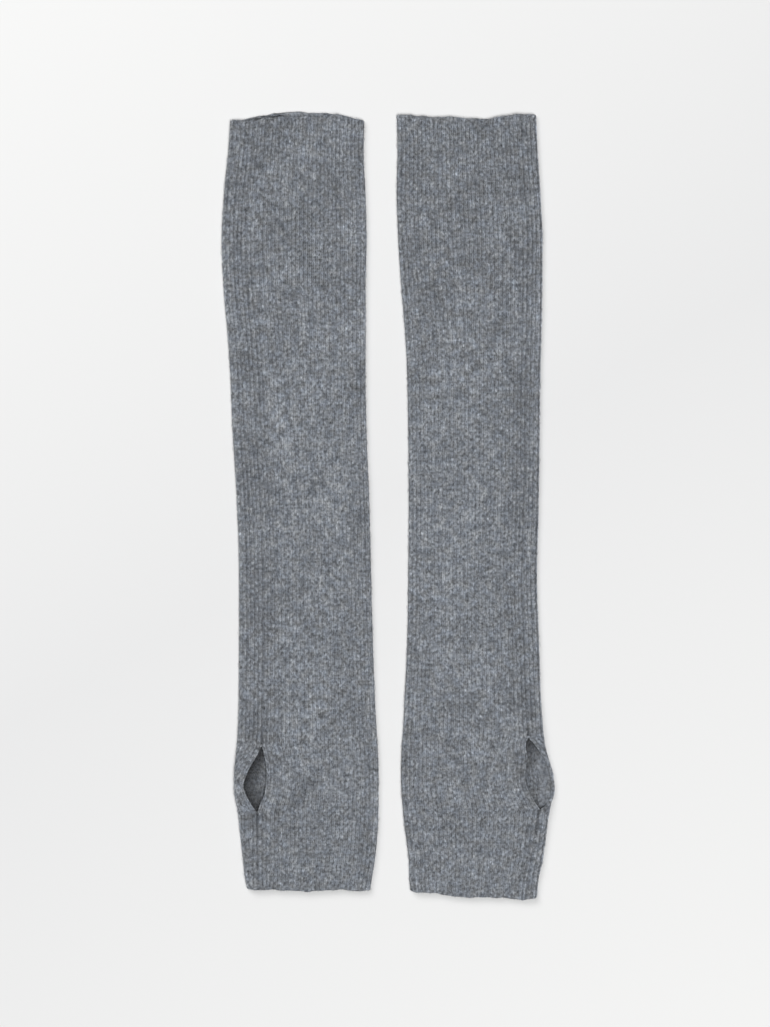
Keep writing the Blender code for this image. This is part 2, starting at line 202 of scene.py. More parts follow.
Section = namedtuple("Section", "from_hand thumb_edge far_edge seam")
SlitRow = namedtuple("SlitRow", "from_hand strip_lip front_lip")
LiftRow = namedtuple("LiftRow", "from_hand strip front")
EdgeRow = namedtuple("EdgeRow", "across front back")
Swell = namedtuple("Swell", "across from_hand half_length half_width turn height")
Warmer = namedtuple(
    "Warmer",
    "name side length thumb_ribs front_ribs sections slit lifts hand_edge arm_edge swells creases",
)

LEFT_SECTIONS = (
    Section(0, 35.7, 40.4, 28.6),
    Section(8, 37.2, 41.6, 28.6),
    Section(20, 38.3, 43.4, 28.7),
    Section(35, 40.0, 44.9, 28.8),
    Section(48, 41.2, 45.5, 29.0),
    Section(62, 43.6, 45.6, 28.4),
    Section(72, 43.7, 45.6, 27.6),
    Section(84, 42.6, 45.3, 26.6),
    Section(96, 41.6, 44.6, 26.2),
    Section(118, 40.9, 43.4, 25.7),
    Section(160, 40.6, 41.9, 25.4),
    Section(200, 40.7, 40.9, 25.5),
    Section(240, 42.0, 39.9, 26.8),
    Section(283, 44.6, 38.2, 29.4),
    Section(320, 46.2, 37.6, 31.0),
    Section(345, 47.9, 37.7, 32.7),
    Section(370, 50.1, 37.6, 34.9),
    Section(400, 51.3, 38.2, 36.1),
    Section(431, 49.8, 37.5, 34.6),
    Section(455, 47.4, 36.4, 32.2),
    Section(477, 46.1, 36.9, 30.9),
)
RIGHT_SECTIONS = (
    Section(0, 39.9, 38.4, 33.0),
    Section(10, 40.8, 39.2, 34.0),
    Section(22, 43.4, 39.5, 36.4),
    Section(35, 45.3, 41.0, 38.4),
    Section(47, 46.7, 42.5, 39.9),
    Section(56, 48.5, 43.3, 40.6),
    Section(66, 50.8, 44.1, 39.6),
    Section(75, 49.9, 44.3, 38.2),
    Section(84, 47.3, 44.1, 36.8),
    Section(92, 45.2, 43.9, 35.0),
    Section(102, 43.8, 43.0, 34.2),
    Section(121, 42.4, 42.1, 33.2),
    Section(164, 41.0, 40.2, 31.8),
    Section(194, 39.9, 39.8, 30.7),
    Section(240, 41.0, 39.5, 31.8),
    Section(287, 41.7, 39.8, 32.5),
    Section(323, 42.1, 40.5, 32.9),
    Section(348, 42.8, 41.9, 33.6),
    Section(373, 43.2, 43.9, 34.0),
    Section(403, 43.4, 45.9, 34.2),
    Section(434, 41.9, 46.9, 32.7),
    Section(459, 40.3, 46.4, 31.1),
    Section(480, 39.4, 46.9, 30.2),
)

LEFT_SLIT = (
    SlitRow(48.7, 29.5, 28.7),
    SlitRow(54, 32.8, 27.4),
    SlitRow(60, 36.0, 24.7),
    SlitRow(66, 37.6, 23.8),
    SlitRow(72, 35.8, 23.4),
    SlitRow(78, 33.0, 23.7),
    SlitRow(84, 29.4, 25.0),
    SlitRow(90, 26.9, 26.1),
)
RIGHT_SLIT = (
    SlitRow(53.5, 42.0, 41.2),
    SlitRow(57, 45.6, 39.2),
    SlitRow(62, 48.4, 36.4),
    SlitRow(68, 49.4, 33.4),
    SlitRow(74, 48.6, 32.3),
    SlitRow(80, 46.8, 32.7),
    SlitRow(86, 43.4, 33.7),
    SlitRow(92, 39.4, 32.6),
    SlitRow(95.5, 36.6, 32.8),
    SlitRow(98, 34.9, 34.1),
)

LEFT_LIFTS = (
    LiftRow(0, 0.3, 0.0),
    LiftRow(20, 0.2, 0.1),
    LiftRow(40, 1.1, 0.9),
    LiftRow(52, 2.2, 1.6),
    LiftRow(60, 3.0, 1.7),
    LiftRow(68, 3.2, 1.0),
    LiftRow(78, 2.8, 0.7),
    LiftRow(90, 1.7, 1.1),
    LiftRow(112, 0.5, 0.5),
    LiftRow(140, 0.0, 0.0),
    LiftRow(477, 0.3, 0.3),
)
RIGHT_LIFTS = (
    LiftRow(0, 0.2, 0.0),
    LiftRow(20, 0.2, 0.1),
    LiftRow(42, 0.7, 0.6),
    LiftRow(54, 1.2, 1.1),
    LiftRow(66, 0.9, 1.3),
    LiftRow(76, 1.2, 1.8),
    LiftRow(86, 1.9, 2.7),
    LiftRow(97, 2.0, 2.3),
    LiftRow(115, 0.7, 0.8),
    LiftRow(140, 0.0, 0.0),
    LiftRow(480, 0.2, 0.2),
)

LEFT_HAND_EDGE = (
    EdgeRow(0.00, -1.6, -1.6),
    EdgeRow(0.05, -1.1, -1.5),
    EdgeRow(0.10, -0.9, -1.5),
    EdgeRow(0.20, -1.0, -1.5),
    EdgeRow(0.33, -0.5, -1.2),
    EdgeRow(0.50, 0.0, -0.8),
    EdgeRow(0.70, -0.9, -1.4),
    EdgeRow(0.78, -1.0, -1.5),
    EdgeRow(0.90, -0.2, -0.9),
    EdgeRow(1.00, -0.6, -0.6),
)
LEFT_ARM_EDGE = (
    EdgeRow(0.00, -2.7, -2.4),
    EdgeRow(0.10, -2.6, -1.9),
    EdgeRow(0.20, -2.5, 0.0),
    EdgeRow(0.26, -0.9, 0.8),
    EdgeRow(0.48, -0.3, 2.9),
    EdgeRow(0.62, -0.5, 2.2),
    EdgeRow(0.70, -0.6, 2.0),
    EdgeRow(0.76, 0.6, 1.7),
    EdgeRow(0.80, 1.4, 1.3),
    EdgeRow(0.85, -0.4, 0.5),
    EdgeRow(0.92, -1.5, -1.2),
    EdgeRow(1.00, -2.8, -2.4),
)
RIGHT_HAND_EDGE = (
    EdgeRow(0.00, 0.6, 0.6),
    EdgeRow(0.07, 2.1, 1.2),
    EdgeRow(0.17, 1.8, 0.9),
    EdgeRow(0.28, 0.9, 0.2),
    EdgeRow(0.42, 0.7, 0.0),
    EdgeRow(0.56, 0.7, -0.2),
    EdgeRow(0.66, 0.0, -0.8),
    EdgeRow(0.74, -1.1, -1.7),
    EdgeRow(0.84, -2.1, -2.6),
    EdgeRow(0.95, -2.4, -3.0),
    EdgeRow(1.00, -3.5, -3.5),
)
RIGHT_ARM_EDGE = (
    EdgeRow(0.00, 0.8, 0.8),
    EdgeRow(0.07, 1.3, 0.8),
    EdgeRow(0.15, 1.1, 0.5),
    EdgeRow(0.20, 0.6, 0.1),
    EdgeRow(0.28, -0.4, -0.9),
    EdgeRow(0.36, -2.3, -1.4),
    EdgeRow(0.42, -1.5, -1.8),
    EdgeRow(0.50, -1.4, -2.0),
    EdgeRow(0.57, -0.3, -1.4),
    EdgeRow(0.72, -0.5, -1.2),
    EdgeRow(0.84, 0.1, -0.7),
    EdgeRow(0.92, 1.0, 0.0),
    EdgeRow(1.00, 0.5, 0.5),
)

# Soft ridges and troughs of the front: the middle of each, its half length and
# half width, its turn from the across direction in degrees, and its height. Their
# heights also paint light and shade into the cloth's colour: lighter where the
# front swells up, darker where it sinks.
LEFT_SWELLS = (
    Swell(16.0, 67.0, 13.0, 4.5, -42, 0.7),
    Swell(-1.0, 76.0, 12.0, 4.5, 12, 0.7),
    Swell(4.6, 58.4, 21.0, 4.4, -46, -1.35),
    Swell(14.5, 46.5, 8.0, 4.4, -46, -0.75),
    Swell(-7.0, 57.0, 18.0, 4.0, -48, 0.6),
    Swell(-36.0, 46.0, 8.0, 3.5, -20, -0.8),
    Swell(27.0, 99.0, 9.0, 4.0, 0, -0.8),
    Swell(35.0, 43.5, 5.0, 3.0, 0, -0.8),
    Swell(-14.0, 96.0, 30.0, 9.0, 62, 0.5),
    Swell(8.0, 150.0, 45.0, 12.0, 84, 0.5),
    Swell(-18.0, 215.0, 50.0, 11.0, 95, 0.6),
    Swell(16.0, 290.0, 55.0, 12.0, 80, 0.6),
    Swell(-12.0, 350.0, 45.0, 12.0, 97, 0.5),
    Swell(20.0, 405.0, 40.0, 13.0, 88, 0.7),
    Swell(-8.0, 452.0, 26.0, 12.0, 100, 0.4),
    Swell(44.0, 425.0, 8.0, 42.0, 0, 0.6),
)
RIGHT_SWELLS = (
    Swell(20.0, 74.0, 16.0, 5.0, -62, 0.6),
    Swell(-3.0, 77.0, 14.0, 3.2, -18, 0.6),
    Swell(6.0, 69.0, 15.0, 4.0, -12, -0.6),
    Swell(40.0, 44.0, 5.0, 3.0, 0, -0.8),
    Swell(-4.0, 92.0, 24.0, 8.0, 70, 0.5),
    Swell(12.0, 128.0, 32.0, 10.0, 96, 0.5),
    Swell(-16.0, 190.0, 50.0, 12.0, 84, 0.6),
    Swell(14.0, 255.0, 50.0, 12.0, 97, 0.5),
    Swell(-10.0, 325.0, 52.0, 13.0, 86, 0.6),
    Swell(18.0, 385.0, 40.0, 12.0, 93, 0.6),
    Swell(-20.0, 425.0, 38.0, 12.0, 82, 0.3),
    Swell(6.0, 458.0, 26.0, 14.0, 104, -0.4),
    Swell(41.0, 28.0, 6.0, 26.0, 0, 0.9),
    Swell(-36.0, 22.0, 7.0, 20.0, 0, 0.7),
)

# Shallow troughs that the laid weight leaves in the hidden underside, which
# otherwise lies flat on the floor
LEFT_CREASES = (
    Swell(17.0, 62.0, 21.0, 3.2, -28, 0.45),
    Swell(-9.0, 84.0, 30.0, 4.6, 14, 0.3),
    Swell(6.0, 171.0, 52.0, 5.5, 76, 0.35),
    Swell(-15.0, 262.0, 34.0, 4.2, 101, 0.4),
    Swell(12.0, 356.0, 61.0, 6.0, 85, 0.3),
    Swell(-4.0, 441.0, 25.0, 4.0, 58, 0.4),
)
RIGHT_CREASES = (
    Swell(19.0, 70.0, 24.0, 3.6, -52, 0.45),
    Swell(-13.0, 104.0, 27.0, 4.3, 21, 0.3),
    Swell(9.0, 205.0, 58.0, 5.8, 98, 0.3),
    Swell(-17.0, 301.0, 41.0, 4.4, 80, 0.4),
    Swell(14.0, 377.0, 33.0, 5.2, 69, 0.35),
    Swell(-6.0, 452.0, 22.0, 3.9, 112, 0.4),
)

WARMERS = (
    Warmer(
        "left", -1, 477.0, 10, 28, LEFT_SECTIONS, LEFT_SLIT, LEFT_LIFTS,
        LEFT_HAND_EDGE, LEFT_ARM_EDGE, LEFT_SWELLS, LEFT_CREASES,
    ),
    Warmer(
        "right", 1, 480.0, 8, 30, RIGHT_SECTIONS, RIGHT_SLIT, RIGHT_LIFTS,
        RIGHT_HAND_EDGE, RIGHT_ARM_EDGE, RIGHT_SWELLS, RIGHT_CREASES,
    ),
)

# How finely the laid cloth's place is kept, and the mesh of the ground cloth
POINTS_A_WALE = 8
STATION_STEP = 1.5
RING_STEP = 3.1
SLIT_RING_STEP = 1.6
ARC_SAMPLES = 24
STRIP_SAMPLES = 12
FRONT_SAMPLES = 120
SHOWN_STEPS = (0.0, 0.22, 0.5, 0.78)
UNDER_STEPS = (0.0, 0.5)

# Heights above the wall's middle: the ground under a rib, and between ribs
GROUND_CREST = 1.2
GROUND_GROOVE = 1.0
DRAWN_GROOVE = 0.32
THUMB_DRAW_RIBS = 4.0
FAR_DRAW_RIBS = 3.0
ARM_DRAW = 0.75
ARM_DRAW_START = 352.0
ARM_DRAW_FADE = 14.0
UNDER_GROOVE = 0.5
SEAM_BEDS = (0.3, 0.65)

# How unevenly each groove shows along its length, and the few grooves that show
# most: which one, counted from the strip's lip, and from where to where
GROOVE_RUNS = (19.0, 31.0)
GROOVE_UNEVEN = 0.75
STRONG_DRAW = 1.5
STRONG_FADE = 15.0
STRONG_GROOVES = {
    "left": ((1, 410, 465), (3, 345, 470), (4, 125, 300), (5, 330, 460)),
    "right": ((1, 5, 50), (2, 0, 55), (3, 120, 250), (67, 100, 155)),
}
RIM_BULGE = 0.05

# Painted light and shade in the cloth's colour: how much lighter a ridge is painted
# and darker a trough, for each millimetre of height above the usual swell. A painted
# highlight, for the light that wool's hair catches, lightens cloth that turns away
# and cloth along both sides, up to near the arm end.
CREASE_PAINTED_LIGHT = 0.14
USUAL_SWELL = 0.25
FOLD_PAINTED_LIGHT = 0.45
SIDE_PAINTED_LIGHT = 0.12
SIDE_LIGHT_REACH = 8.0
SIDE_LIGHT_END = 430.0
SIDE_LIGHT_FADE = 30.0

# Painted shade on the tube's inside: which lip of the slit it is painted below, its
# tone below that lip and where light falls in, how far from the lip the shade reaches,
# and how far it fills the slit's arm end and its hand end
PaintedShade = namedtuple("PaintedShade", "lip lip_tone lit_tone reach arm_wedge hand_wedge")
PAINTED_SLIT_SHADES = {
    "left": PaintedShade("strip_lip", 0.18, 0.9, 18.0, 12.0, 9.0),
    "right": PaintedShade("front_lip", 0.62, 0.76, 3.0, 17.0, 4.0),
}
WEDGE_PAINTED_SHADE = 0.2

# The inside at the arm end: its painted shade where it gapes, between two places
# across the warmer, and elsewhere a painted light, lighter than the cloth, that offsets its shade
ARM_GAPE = (13.0, 31.0)
ARM_GAPE_PAINTED_SHADE = 0.35
ARM_INSIDE_PAINTED_LIGHT = 1.1
# Painted shade along the seam's groove: its tone at the slit's ends and further off
SEAM_PAINTED_SHADES = (0.45, 0.9)
SEAM_SHADE_REACH = 16.0


def through(rows, column, at):
    """Values of a column at places along a warmer: a smooth curve through the rows that never overshoots."""
    place = np.array([row[0] for row in rows], float)
    value = np.array([getattr(row, column) for row in rows], float)
    at = np.clip(at, place[0], place[-1])
    k = np.clip(np.searchsorted(place, at, side="right") - 1, 0, len(rows) - 2)
    span = np.diff(place)
    slope = np.diff(value) / span
    same_way = slope[:-1] * slope[1:] > 0
    mean = 2 * slope[:-1] * slope[1:] / np.where(same_way, slope[:-1] + slope[1:], 1)
    tangent = np.concatenate([slope[:1], np.where(same_way, mean, 0), slope[-1:]])
    t = (at - place[k]) / span[k]
    rise = value[k + 1] - value[k]
    start, end = tangent[k] * span[k], tangent[k + 1] * span[k]
    return value[k] + t * (start + t * (3 * rise - 2 * start - end + t * (start + end - 2 * rise)))


def lips(warmer, along):
    """Where the strip's edge and the front's edge lie: side by side where the seam is sewn.

    Along the slit both stand back a little, to leave room for their chain of edge stitches.
    """
    first, last = warmer.slit[0].from_hand, warmer.slit[-1].from_hand
    if first <= along <= last:
        back = LIP_ROOM * np.clip(min(along - first, last - along) / LIP_ROOM_FADE, 0, 1)
        return through(warmer.slit, "strip_lip", along) + back, through(warmer.slit, "front_lip", along) - back
    seam = through(warmer.sections, "seam", along)
    return seam + SEAM_GROOVE / 2, seam - SEAM_GROOVE / 2


def swelling(swells, across, along):
    """Height of soft ridges and troughs at places on one layer."""
    total = np.zeros_like(across)
    for swell in swells:
        turn = math.radians(swell.turn)
        du, dv = across - swell.across, along - swell.from_hand
        lengthways = (du * math.cos(turn) + dv * math.sin(turn)) / swell.half_length
        sideways = (dv * math.cos(turn) - du * math.sin(turn)) / swell.half_width
        total += swell.height * np.exp(-lengthways ** 2 - sideways ** 2)
    return total


def front_height(warmer, across, along, lip):
    """Height of the wall's middle on the front: highest at the slit, plain past the reach."""
    share = np.clip((lip - across) / LIFT_REACH, 0, 1)
    lifted = through(warmer.lifts, "front", along) * (1 + np.cos(math.pi * share)) / 2
    far = through(warmer.sections, "far_edge", along)
    settle = np.clip((across + far) / SETTLE_REACH, 0, 1)
    return FRONT_HEIGHT + lifted + swelling(warmer.swells, across, along) * settle


def arc(centre, radius, start, end):
    """Points of (across, height, normal across, normal up) round a fold that starts or ends on the back."""
    angle = np.linspace(start, end, ARC_SAMPLES + 1)
    across = centre + radius * np.cos(angle)
    height = BACK_HEIGHT + radius * (1 + np.sin(angle))
    return np.stack([across, height, np.cos(angle), np.sin(angle)], 1)


def section_line(warmer, along):
    """The wall's middle round one section, from the strip's lip under the tube to the front's lip.

    Gives its points, as arc does, the length to each, and the length at which the far fold starts.
    """
    strip_lip, front_lip = lips(warmer, along)
    inset = WALL / 2 + RIB_RISE
    strip_top = FRONT_HEIGHT + through(warmer.lifts, "strip", along)
    thumb_radius = (strip_top - BACK_HEIGHT) / 2
    thumb_centre = through(warmer.sections, "thumb_edge", along) - inset - thumb_radius
    far_radius = (FRONT_HEIGHT - BACK_HEIGHT) / 2
    far_centre = through(warmer.sections, "far_edge", along) - inset - far_radius

    parts = []
    start_angle = math.pi / 2
    if strip_lip < thumb_centre:
        across = np.linspace(strip_lip, thumb_centre, STRIP_SAMPLES, endpoint=False)
        flat = np.ones_like(across)
        parts.append(np.stack([across, flat * strip_top, flat * 0, flat], 1))
    else:
        start_angle = math.acos(min(0.96, (strip_lip - thumb_centre) / thumb_radius))
    parts.append(arc(thumb_centre, thumb_radius, start_angle, -math.pi / 2))
    far_first = sum(len(part) for part in parts)
    parts.append(arc(-far_centre, far_radius, -math.pi / 2, -math.pi * 3 / 2))
    across = np.linspace(-far_centre, front_lip, FRONT_SAMPLES + 1)[1:]
    height = front_height(warmer, across, along, front_lip)
    slope = (front_height(warmer, across + 0.5, along, front_lip) - height) / 0.5
    steep = np.hypot(slope, 1)
    parts.append(np.stack([across, height, -slope / steep, 1 / steep], 1))
    points = np.concatenate(parts)
    steps = np.hypot(*np.diff(points[:, :2], axis=0).T)
    length = np.concatenate([[0], np.cumsum(steps)])
    return points, length, length[far_first]


def wale_lengths(warmer, along, wales, total, far_start):
    """Length round the section at each wale, the knit's own count of ribs from the strip's lip."""
    pull = lips(warmer, along)[1] - through(warmer.sections, "seam", along)
    thumb_end = RIB_PITCH * warmer.thumb_ribs
    far_run = far_start - UNDER_MARGIN
    front_run = far_run + RIB_PITCH * FAR_RIBS
    first_far = warmer.thumb_ribs + BACK_RIBS
    share = np.clip((wales - first_far - FAR_RIBS) / warmer.front_ribs, 0, 1)
    on_front = (total - front_run - pull) * share + pull * share ** 2
    steady = np.interp(
        wales,
        [0, warmer.thumb_ribs, first_far, first_far + FAR_RIBS],
        [0, thumb_end, far_run, front_run],
    )
    return steady + on_front


def end_shift(warmer, across, height, along):
    """How far a place moves along the warmer, for the uneven line of its two ends.

    Each end stands back a little, to leave room for its rope of loops.
    """
    thumb = through(warmer.sections, "thumb_edge", along)
    far = through(warmer.sections, "far_edge", along)
    share = np.clip((thumb - across) / (thumb + far), 0, 1)
    front_share = np.clip((height - BACK_HEIGHT) / (FRONT_HEIGHT - BACK_HEIGHT), 0, 1)
    shift = np.zeros_like(across)
    for edge, distance, way in (
        (warmer.hand_edge, along, -1),
        (warmer.arm_edge, warmer.length - along, 1),
    ):
        if distance < END_REACH:
            front = through(edge, "front", share)
            back = through(edge, "back", share)
            edge_line = back + (front - back) * front_share - LOOP_ROOM
            edge_line += EDGE_WAVE * np.sin(across / EDGE_WAVE_RUNS[0] + 2 * front_share)
            edge_line += EDGE_WAVE * np.sin(across / EDGE_WAVE_RUNS[1] + 3 * front_share + along)
            shift += way * (1 - distance / END_REACH) ** 2 * edge_line
    return shift


def lay_out(warmer):
    """The whole laid tube as a grid over stations and wales: across, shift, height and the normal's two parts."""
    stations = np.append(np.arange(0, warmer.length, STATION_STEP), warmer.length)
    last_wale = warmer.thumb_ribs + BACK_RIBS + FAR_RIBS + warmer.front_ribs
    wales = np.arange(last_wale * POINTS_A_WALE + 1) / POINTS_A_WALE
    grid = np.empty((len(stations), len(wales), 5))
    for row, along in zip(grid, stations):
        points, length, far_start = section_line(warmer, along)
        at = wale_lengths(warmer, along, wales, length[-1], far_start)
        across, height, nu, nz = (np.interp(at, length, column) for column in points.T)
        hidden = np.clip(-nz - 0.7, 0, 0.3) / 0.3
        height = height + swelling(warmer.creases, across, along) * hidden
        row[:] = np.stack([across, end_shift(warmer, across, height, along), height, nu, nz], 1)
    return grid


class Tube:
    """A laid warmer, which gives the place in the room of any place on its knit."""

    def __init__(self, warmer):
        low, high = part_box(warmer.name + "_arm_warmer")
        widest_thumb = max(row.thumb_edge for row in warmer.sections)
        widest_far = max(row.far_edge for row in warmer.sections)
        reach = max(max(row.front, row.back) for row in warmer.hand_edge)
        self.warmer = warmer
        self.grid = lay_out(warmer)
        edges = (low.x, high.x) if warmer.side < 0 else (high.x, low.x)
        self.axis = (sum(edges) / MM - warmer.side * (widest_thumb - widest_far)) / 2
        self.hand = low.y / MM + reach
        self.last_wale = warmer.thumb_ribs + BACK_RIBS + FAR_RIBS + warmer.front_ribs
        self.first_front = self.last_wale - warmer.front_ribs
        self.first_far = self.first_front - FAR_RIBS

    def look_up(self, wale, along):
        """Across, shift, height and unit normal at places on the knit."""
        rows, columns, _ = self.grid.shape
        j = np.clip(np.asarray(wale, float) * POINTS_A_WALE, 0, columns - 1.0001)
        i = np.clip(np.asarray(along, float) / STATION_STEP, 0, rows - 1.0001)
        j0, i0 = j.astype(int), i.astype(int)
        fj, fi = (j - j0)[:, None], (i - i0)[:, None]
        near = self.grid[i0, j0] * (1 - fj) + self.grid[i0, j0 + 1] * fj
        next_row = self.grid[i0 + 1, j0] * (1 - fj) + self.grid[i0 + 1, j0 + 1] * fj
        found = near * (1 - fi) + next_row * fi
        found[:, 3:] /= np.hypot(found[:, 3], found[:, 4])[:, None]
        return found

    def place(self, wale, along, out):
        """Room places, in metres, at heights out above the wall's middle."""
        across, shift, height, nu, nz = self.look_up(wale, along).T
        past_lip = (wale - np.clip(wale, 0, self.last_wale)) * RIB_PITCH
        x = self.axis + self.warmer.side * (across + nu * out + nz * past_lip)
        y = self.hand + along + shift
        z = np.maximum(height + nz * out - nu * past_lip, 0)
        return np.stack([x, y, z], 1) * MM

    def bake_place(self, wale, along):
        """Place of a knit place on the unrolled panel, from 0 to 1 both ways."""
        return np.stack([wale / self.last_wale, along / self.warmer.length], 1) * 0.98 + 0.01


def knit_mesh(name, points, faces, tone, panel, material):
    """One finished object from room places, triangles, a tone for each point and places on the panel."""
    mesh = bpy.data.meshes.new(name)
    mesh.vertices.add(len(points))
    mesh.vertices.foreach_set("co", points.ravel())
    mesh.loops.add(faces.size)
    mesh.loops.foreach_set("vertex_index", faces.ravel().astype(np.int32))
    mesh.polygons.add(len(faces))
    mesh.polygons.foreach_set("loop_start", np.arange(0, faces.size, 3, dtype=np.int32))
    mesh.polygons.foreach_set("use_smooth", np.ones(len(faces), bool))
    mesh.update(calc_edges=True)
    mesh.attributes.new("tone", "FLOAT", "POINT").data.foreach_set("value", tone.astype(np.float32))
    unrolled = mesh.uv_layers.new(name="OFBake")
    unrolled.data.foreach_set("uv", panel[faces.ravel()].ravel().astype(np.float32))
    mesh.materials.append(material)
    piece = bpy.data.objects.new(name, mesh)
    bpy.context.scene.collection.objects.link(piece)
    return piece


def ring_stations(warmer):
    """Stations of the mesh's rings, closer along the slit, whose two ends get a ring each."""
    first, last = warmer.slit[0].from_hand, warmer.slit[-1].from_hand
    runs = ((0, first, RING_STEP), (first, last, SLIT_RING_STEP), (last, warmer.length, RING_STEP))
    stations = [0.0]
    for start, end, step in runs:
        count = max(1, round((end - start) / step))
        stations += list(np.linspace(start, end, count + 1)[1:])
    return np.array(stations)


def drawn_in(tube, wale, along):
    """How far the ribs are drawn together, 1 being tight: most at the arm end and beside the folds."""
    warmer = tube.warmer
    on_front = wale - tube.first_front
    from_lip = np.where(on_front < 0, 0, warmer.front_ribs - on_front)
    by_thumb = np.exp(-(from_lip / THUMB_DRAW_RIBS) ** 2)
    by_far = np.exp(-(np.maximum(on_front, 0) / FAR_DRAW_RIBS) ** 2)
    by_arm = 1 / (1 + np.exp((ARM_DRAW_START - along) / ARM_DRAW_FADE))
    drawn = 0.1 + 0.8 * np.maximum(np.maximum(by_thumb, by_far), ARM_DRAW * by_arm)
    groove = np.round(wale)
    run = np.sin(along / GROOVE_RUNS[0] + 2.4 * groove) * np.sin(along / GROOVE_RUNS[1] + 4.1 * groove)
    drawn = drawn * (1 + GROOVE_UNEVEN * run)
    for strong, first, last in STRONG_GROOVES[warmer.name]:
        inside = np.clip((along - first) / STRONG_FADE, 0, 1) * np.clip((last - along) / STRONG_FADE, 0, 1)
        drawn = np.maximum(drawn, np.where(groove == strong, STRONG_DRAW * inside, 0))
    return drawn


def beside_slit(tube, along, values):
    """A value along the seam's groove, from the one at the slit's ends to the one further off."""
    slit = tube.warmer.slit
    from_slit = np.maximum(slit[0].from_hand - along, along - slit[-1].from_hand)
    return values[0] + (values[1] - values[0]) * np.clip(from_slit / SEAM_SHADE_REACH, 0, 1)


def ground_height(tube, wale, along, normal_up):
    """Height of the ground cloth: ribs on the shown sides, and grooves pressed flat below."""
    crest = np.sin(math.pi * (wale % 1.0))
    shown = np.clip(normal_up + 0.5, 0, 1)
    groove = GROUND_GROOVE - DRAWN_GROOVE * drawn_in(tube, wale, along)
    top = groove + (GROUND_CREST - groove) * crest
    at_seam = np.minimum(wale, tube.last_wale - wale) < 0.01
    top = np.where(at_seam, beside_slit(tube, along, SEAM_BEDS), top)
    under = WALL / 2 - UNDER_GROOVE * (1 - crest)
    return top * shown + under * (1 - shown)


def painted_relief_light(tube, wale, along):
    """Painted light and shade on what shows: lighter on a soft ridge, a fold or a side, and darker in a trough.
    """
    found = tube.look_up(wale, along)
    across, turned_up = found[:, 0], np.clip(found[:, 4], 0, 1)
    swell = swelling(tube.warmer.swells, across, along) - USUAL_SWELL
    from_thumb_side = through(tube.warmer.sections, "thumb_edge", along) - across
    from_far_side = through(tube.warmer.sections, "far_edge", along) + across
    side_light = np.exp(-(np.minimum(from_thumb_side, from_far_side) / SIDE_LIGHT_REACH) ** 2)
    side_light *= np.clip((SIDE_LIGHT_END - along) / SIDE_LIGHT_FADE, 0, 1)
    return 1 + CREASE_PAINTED_LIGHT * swell * turned_up + FOLD_PAINTED_LIGHT * (1 - turned_up) + SIDE_PAINTED_LIGHT * side_light


def painted_inner_shade(tube, wale, along):
    """Painted shade on the tube's inside: darkest below one lip of the slit and in the slit's narrow ends; at the
    arm end, painted shade where it gapes and painted light elsewhere.
    """
    warmer = tube.warmer
    shade = PAINTED_SLIT_SHADES[warmer.name]
    across = tube.look_up(wale, along)[:, 0]
    from_lip = abs(across - through(warmer.slit, shade.lip, along))
    tone = shade.lip_tone + (shade.lit_tone - shade.lip_tone) * np.clip(from_lip / shade.reach, 0, 1)
    from_arm_end = (warmer.slit[-1].from_hand - along) / shade.arm_wedge
    from_hand_end = (along - warmer.slit[0].from_hand) / shade.hand_wedge
    tone = WEDGE_PAINTED_SHADE + (tone - WEDGE_PAINTED_SHADE) * np.clip(np.minimum(from_arm_end, from_hand_end), 0, 1)
    gapes = (across > ARM_GAPE[0]) & (across < ARM_GAPE[1])
    at_arm = np.where(gapes, ARM_GAPE_PAINTED_SHADE, ARM_INSIDE_PAINTED_LIGHT)
    return np.where(along > warmer.length / 2, at_arm, tone)


